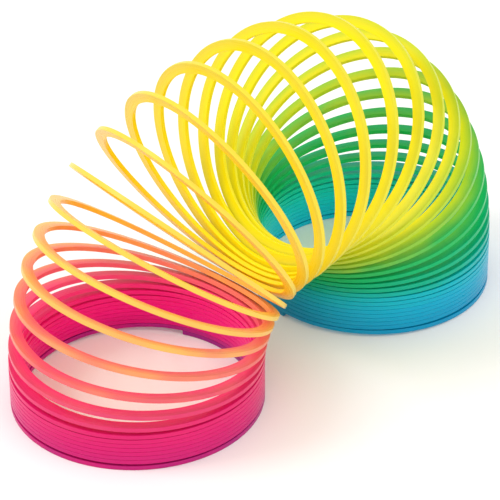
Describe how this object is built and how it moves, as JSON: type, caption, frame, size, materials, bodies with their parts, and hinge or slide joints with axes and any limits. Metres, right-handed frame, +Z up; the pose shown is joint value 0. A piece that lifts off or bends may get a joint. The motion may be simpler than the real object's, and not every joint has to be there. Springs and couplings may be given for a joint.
{
  "type": "spring coil toy",
  "caption": "Rainbow plastic walking-spring toy: a flat strip wound into a coil, standing as an arch on both ends; it bends shut onto one foot and its stacks lift open.",
  "frame": {"origin": "on the floor, at the centre of the bounding box", "axes": "+X along the arch, from the foot with the strip's lower, magenta end to the blue foot; Y across the arch; +Z up"},
  "size_m": [0.1724, 0.075, 0.0964],
  "materials": {
    "turn_01": "semi-gloss moulded plastic",
    "turn_02": "semi-gloss moulded plastic",
    "turn_03": "semi-gloss moulded plastic",
    "turn_04": "semi-gloss moulded plastic",
    "turn_05": "semi-gloss moulded plastic",
    "turn_06": "semi-gloss moulded plastic",
    "turn_07": "semi-gloss moulded plastic",
    "turn_08": "semi-gloss moulded plastic",
    "turn_09": "semi-gloss moulded plastic",
    "turn_10": "semi-gloss moulded plastic",
    "turn_11": "semi-gloss moulded plastic",
    "turn_12": "semi-gloss moulded plastic",
    "turn_13": "semi-gloss moulded plastic",
    "turn_14": "semi-gloss moulded plastic",
    "turn_15": "semi-gloss moulded plastic",
    "turn_16": "semi-gloss moulded plastic",
    "turn_17": "semi-gloss moulded plastic",
    "turn_18": "semi-gloss moulded plastic",
    "turn_19": "semi-gloss moulded plastic",
    "turn_20": "semi-gloss moulded plastic",
    "turn_21": "semi-gloss moulded plastic",
    "turn_22": "semi-gloss moulded plastic",
    "turn_23": "semi-gloss moulded plastic",
    "turn_24": "semi-gloss moulded plastic",
    "turn_25": "semi-gloss moulded plastic",
    "turn_26": "semi-gloss moulded plastic",
    "turn_27": "semi-gloss moulded plastic",
    "turn_28": "semi-gloss moulded plastic",
    "turn_29": "semi-gloss moulded plastic",
    "turn_30": "semi-gloss moulded plastic",
    "turn_31": "semi-gloss moulded plastic",
    "turn_32": "semi-gloss moulded plastic",
    "turn_33": "semi-gloss moulded plastic",
    "turn_34": "semi-gloss moulded plastic",
    "turn_35": "semi-gloss moulded plastic",
    "turn_36": "semi-gloss moulded plastic",
    "turn_37": "semi-gloss moulded plastic",
    "turn_38": "semi-gloss moulded plastic",
    "turn_39": "semi-gloss moulded plastic",
    "turn_40": "semi-gloss moulded plastic",
    "turn_41": "semi-gloss moulded plastic",
    "turn_42": "semi-gloss moulded plastic"
  },
  "bodies": {
    "coil_01": {"turn_01": "turn_01"},
    "coil_02": {"turn_02": "turn_02"},
    "coil_03": {"turn_03": "turn_03"},
    "coil_04": {"turn_04": "turn_04"},
    "coil_05": {"turn_05": "turn_05"},
    "coil_06": {"turn_06": "turn_06"},
    "coil_07": {"turn_07": "turn_07"},
    "coil_08": {"turn_08": "turn_08"},
    "coil_09": {"turn_09": "turn_09"},
    "coil_10": {"turn_10": "turn_10"},
    "coil_11": {"turn_11": "turn_11"},
    "coil_12": {"turn_12": "turn_12"},
    "coil_13": {"turn_13": "turn_13"},
    "coil_14": {"turn_14": "turn_14"},
    "coil_15": {"turn_15": "turn_15"},
    "coil_16": {"turn_16": "turn_16"},
    "coil_17": {"turn_17": "turn_17"},
    "coil_18": {"turn_18": "turn_18"},
    "coil_19": {"turn_19": "turn_19"},
    "coil_20": {"turn_20": "turn_20"},
    "coil_21": {"turn_21": "turn_21"},
    "coil_22": {"turn_22": "turn_22"},
    "coil_23": {"turn_23": "turn_23"},
    "coil_24": {"turn_24": "turn_24"},
    "coil_25": {"turn_25": "turn_25"},
    "coil_26": {"turn_26": "turn_26"},
    "coil_27": {"turn_27": "turn_27"},
    "coil_28": {"turn_28": "turn_28"},
    "coil_29": {"turn_29": "turn_29"},
    "coil_30": {"turn_30": "turn_30"},
    "coil_31": {"turn_31": "turn_31"},
    "coil_32": {"turn_32": "turn_32"},
    "coil_33": {"turn_33": "turn_33"},
    "coil_34": {"turn_34": "turn_34"},
    "coil_35": {"turn_35": "turn_35"},
    "coil_36": {"turn_36": "turn_36"},
    "coil_37": {"turn_37": "turn_37"},
    "coil_38": {"turn_38": "turn_38"},
    "coil_39": {"turn_39": "turn_39"},
    "coil_40": {"turn_40": "turn_40"},
    "coil_41": {"turn_41": "turn_41"},
    "coil_42": {"turn_42": "turn_42"}
  },
  "joints": [
    {"name": "lift_41", "type": "slide", "parent": "coil_42", "child": "coil_41", "axis": [0, 0, 1], "range_m": [0, 0.0025]},
    {"name": "lift_40", "type": "slide", "parent": "coil_41", "child": "coil_40", "axis": [0, 0, 1], "range_m": [0, 0.0025]},
    {"name": "lift_39", "type": "slide", "parent": "coil_40", "child": "coil_39", "axis": [0, 0, 1], "range_m": [0, 0.0025]},
    {"name": "lift_38", "type": "slide", "parent": "coil_39", "child": "coil_38", "axis": [0, 0, 1], "range_m": [0, 0.0025]},
    {"name": "lift_37", "type": "slide", "parent": "coil_38", "child": "coil_37", "axis": [0, 0, 1], "range_m": [0, 0.0025]},
    {"name": "lift_36", "type": "slide", "parent": "coil_37", "child": "coil_36", "axis": [0, 0, 1], "range_m": [0, 0.0025]},
    {"name": "bend_35", "type": "hinge", "parent": "coil_36", "child": "coil_35", "pos_m": [0.01293, 0, 0.01035], "axis": [0, 1, 0], "range_deg": [0, 0.087]},
    {"name": "bend_34", "type": "hinge", "parent": "coil_35", "child": "coil_34", "pos_m": [0.01293, 0, 0.01176], "axis": [0, 1, 0], "range_deg": [0, 0.356]},
    {"name": "bend_33", "type": "hinge", "parent": "coil_34", "child": "coil_33", "pos_m": [0.01292, 0, 0.01317], "axis": [0, 1, 0], "range_deg": [0, 0.795]},
    {"name": "bend_32", "type": "hinge", "parent": "coil_33", "child": "coil_32", "pos_m": [0.01289, 0, 0.01461], "axis": [0, 1, 0], "range_deg": [0, 1.38]},
    {"name": "bend_31", "type": "hinge", "parent": "coil_32", "child": "coil_31", "pos_m": [0.01282, 0, 0.01606], "axis": [0, 1, 0], "range_deg": [0, 2.09]},
    {"name": "bend_30", "type": "hinge", "parent": "coil_31", "child": "coil_30", "pos_m": [0.01269, 0, 0.01753], "axis": [0, 1, 0], "range_deg": [0, 2.9]},
    {"name": "bend_29", "type": "hinge", "parent": "coil_30", "child": "coil_29", "pos_m": [0.01249, 0, 0.01902], "axis": [0, 1, 0], "range_deg": [0, 3.78]},
    {"name": "bend_28", "type": "hinge", "parent": "coil_29", "child": "coil_28", "pos_m": [0.01217, 0, 0.02051], "axis": [0, 1, 0], "range_deg": [0, 4.72]},
    {"name": "bend_27", "type": "hinge", "parent": "coil_28", "child": "coil_27", "pos_m": [0.01173, 0, 0.02201], "axis": [0, 1, 0], "range_deg": [0, 5.68]},
    {"name": "bend_26", "type": "hinge", "parent": "coil_27", "child": "coil_26", "pos_m": [0.01112, 0, 0.02347], "axis": [0, 1, 0], "range_deg": [0, 6.65]},
    {"name": "bend_25", "type": "hinge", "parent": "coil_26", "child": "coil_25", "pos_m": [0.01033, 0, 0.02488], "axis": [0, 1, 0], "range_deg": [0, 7.6]},
    {"name": "bend_24", "type": "hinge", "parent": "coil_25", "child": "coil_24", "pos_m": [0.00933, 0, 0.02619], "axis": [0, 1, 0], "range_deg": [0, 8.5]},
    {"name": "bend_23", "type": "hinge", "parent": "coil_24", "child": "coil_23", "pos_m": [0.00807, 0, 0.02729], "axis": [0, 1, 0], "range_deg": [0, 9.34]},
    {"name": "bend_22", "type": "hinge", "parent": "coil_23", "child": "coil_22", "pos_m": [0.00625, 0, 0.0276], "axis": [0, 1, 0], "range_deg": [0, 10.09]},
    {"name": "bend_21", "type": "hinge", "parent": "coil_22", "child": "coil_21", "pos_m": [0.00373, 0, 0.02609], "axis": [0, 1, 0], "range_deg": [0, 10.72]},
    {"name": "bend_20", "type": "hinge", "parent": "coil_21", "child": "coil_20", "pos_m": [0.00139, 0, 0.02371], "axis": [0, 1, 0], "range_deg": [0, 11.21]},
    {"name": "bend_19", "type": "hinge", "parent": "coil_20", "child": "coil_19", "pos_m": [-0.00042, 0, 0.02259], "axis": [0, 1, 0], "range_deg": [0, 11.51]},
    {"name": "bend_18", "type": "hinge", "parent": "coil_19", "child": "coil_18", "pos_m": [-0.00217, 0, 0.02237], "axis": [0, 1, 0], "range_deg": [0, 11.49]},
    {"name": "bend_17", "type": "hinge", "parent": "coil_18", "child": "coil_17", "pos_m": [-0.00398, 0, 0.02218], "axis": [0, 1, 0], "range_deg": [0, 11.01]},
    {"name": "bend_16", "type": "hinge", "parent": "coil_17", "child": "coil_16", "pos_m": [-0.00577, 0, 0.02176], "axis": [0, 1, 0], "range_deg": [0, 10.02]},
    {"name": "bend_15", "type": "hinge", "parent": "coil_16", "child": "coil_15", "pos_m": [-0.00748, 0, 0.02111], "axis": [0, 1, 0], "range_deg": [0, 8.78]},
    {"name": "bend_14", "type": "hinge", "parent": "coil_15", "child": "coil_14", "pos_m": [-0.00904, 0, 0.02022], "axis": [0, 1, 0], "range_deg": [0, 7.77]},
    {"name": "bend_13", "type": "hinge", "parent": "coil_14", "child": "coil_13", "pos_m": [-0.01038, 0, 0.0191], "axis": [0, 1, 0], "range_deg": [0, 7.31]},
    {"name": "bend_12", "type": "hinge", "parent": "coil_13", "child": "coil_12", "pos_m": [-0.01142, 0, 0.01778], "axis": [0, 1, 0], "range_deg": [0, 6.91]},
    {"name": "bend_11", "type": "hinge", "parent": "coil_12", "child": "coil_11", "pos_m": [-0.01215, 0, 0.01632], "axis": [0, 1, 0], "range_deg": [0, 5.88]},
    {"name": "bend_10", "type": "hinge", "parent": "coil_11", "child": "coil_10", "pos_m": [-0.01258, 0, 0.01481], "axis": [0, 1, 0], "range_deg": [0, 4.26]},
    {"name": "bend_09", "type": "hinge", "parent": "coil_10", "child": "coil_09", "pos_m": [-0.0128, 0, 0.01332], "axis": [0, 1, 0], "range_deg": [0, 2.52]},
    {"name": "bend_08", "type": "hinge", "parent": "coil_09", "child": "coil_08", "pos_m": [-0.01289, 0, 0.01187], "axis": [0, 1, 0], "range_deg": [0, 1.07]},
    {"name": "bend_07", "type": "hinge", "parent": "coil_08", "child": "coil_07", "pos_m": [-0.01292, 0, 0.01045], "axis": [0, 1, 0], "range_deg": [0, 0.193]},
    {"name": "lift_06", "type": "slide", "parent": "coil_07", "child": "coil_06", "axis": [0, 0, -1], "range_m": [0, 0.0025]},
    {"name": "lift_05", "type": "slide", "parent": "coil_06", "child": "coil_05", "axis": [0, 0, -1], "range_m": [0, 0.0025]},
    {"name": "lift_04", "type": "slide", "parent": "coil_05", "child": "coil_04", "axis": [0, 0, -1], "range_m": [0, 0.0025]},
    {"name": "lift_03", "type": "slide", "parent": "coil_04", "child": "coil_03", "axis": [0, 0, -1], "range_m": [0, 0.0025]},
    {"name": "lift_02", "type": "slide", "parent": "coil_03", "child": "coil_02", "axis": [0, 0, -1], "range_m": [0, 0.0025]},
    {"name": "lift_01", "type": "slide", "parent": "coil_02", "child": "coil_01", "axis": [0, 0, -1], "range_m": [0, 0.0025]}
  ],
  "couplings": [
    {"joint": "bend_35", "follows": "bend_19", "ratio": 0.00755},
    {"joint": "bend_34", "follows": "bend_19", "ratio": 0.03092},
    {"joint": "bend_33", "follows": "bend_19", "ratio": 0.06907},
    {"joint": "bend_32", "follows": "bend_19", "ratio": 0.11998},
    {"joint": "bend_31", "follows": "bend_19", "ratio": 0.18158},
    {"joint": "bend_30", "follows": "bend_19", "ratio": 0.25186},
    {"joint": "bend_29", "follows": "bend_19", "ratio": 0.32858},
    {"joint": "bend_28", "follows": "bend_19", "ratio": 0.4099},
    {"joint": "bend_27", "follows": "bend_19", "ratio": 0.49357},
    {"joint": "bend_26", "follows": "bend_19", "ratio": 0.57767},
    {"joint": "bend_25", "follows": "bend_19", "ratio": 0.66012},
    {"joint": "bend_24", "follows": "bend_19", "ratio": 0.73874},
    {"joint": "bend_23", "follows": "bend_19", "ratio": 0.81164},
    {"joint": "bend_22", "follows": "bend_19", "ratio": 0.87662},
    {"joint": "bend_21", "follows": "bend_19", "ratio": 0.93162},
    {"joint": "bend_20", "follows": "bend_19", "ratio": 0.97428},
    {"joint": "bend_18", "follows": "bend_19", "ratio": 0.99869},
    {"joint": "bend_17", "follows": "bend_19", "ratio": 0.95655},
    {"joint": "bend_16", "follows": "bend_19", "ratio": 0.87019},
    {"joint": "bend_15", "follows": "bend_19", "ratio": 0.76238},
    {"joint": "bend_14", "follows": "bend_19", "ratio": 0.6748},
    {"joint": "bend_13", "follows": "bend_19", "ratio": 0.63509},
    {"joint": "bend_12", "follows": "bend_19", "ratio": 0.60008},
    {"joint": "bend_11", "follows": "bend_19", "ratio": 0.51077},
    {"joint": "bend_10", "follows": "bend_19", "ratio": 0.36993},
    {"joint": "bend_09", "follows": "bend_19", "ratio": 0.21859},
    {"joint": "bend_08", "follows": "bend_19", "ratio": 0.0927},
    {"joint": "bend_07", "follows": "bend_19", "ratio": 0.01676},
    {"joint": "lift_40", "follows": "lift_41", "ratio": 1},
    {"joint": "lift_39", "follows": "lift_41", "ratio": 1},
    {"joint": "lift_38", "follows": "lift_41", "ratio": 1},
    {"joint": "lift_37", "follows": "lift_41", "ratio": 1},
    {"joint": "lift_36", "follows": "lift_41", "ratio": 1},
    {"joint": "lift_06", "follows": "lift_41", "ratio": 1},
    {"joint": "lift_05", "follows": "lift_41", "ratio": 1},
    {"joint": "lift_04", "follows": "lift_41", "ratio": 1},
    {"joint": "lift_03", "follows": "lift_41", "ratio": 1},
    {"joint": "lift_02", "follows": "lift_41", "ratio": 1},
    {"joint": "lift_01", "follows": "lift_41", "ratio": 1}
  ]
}
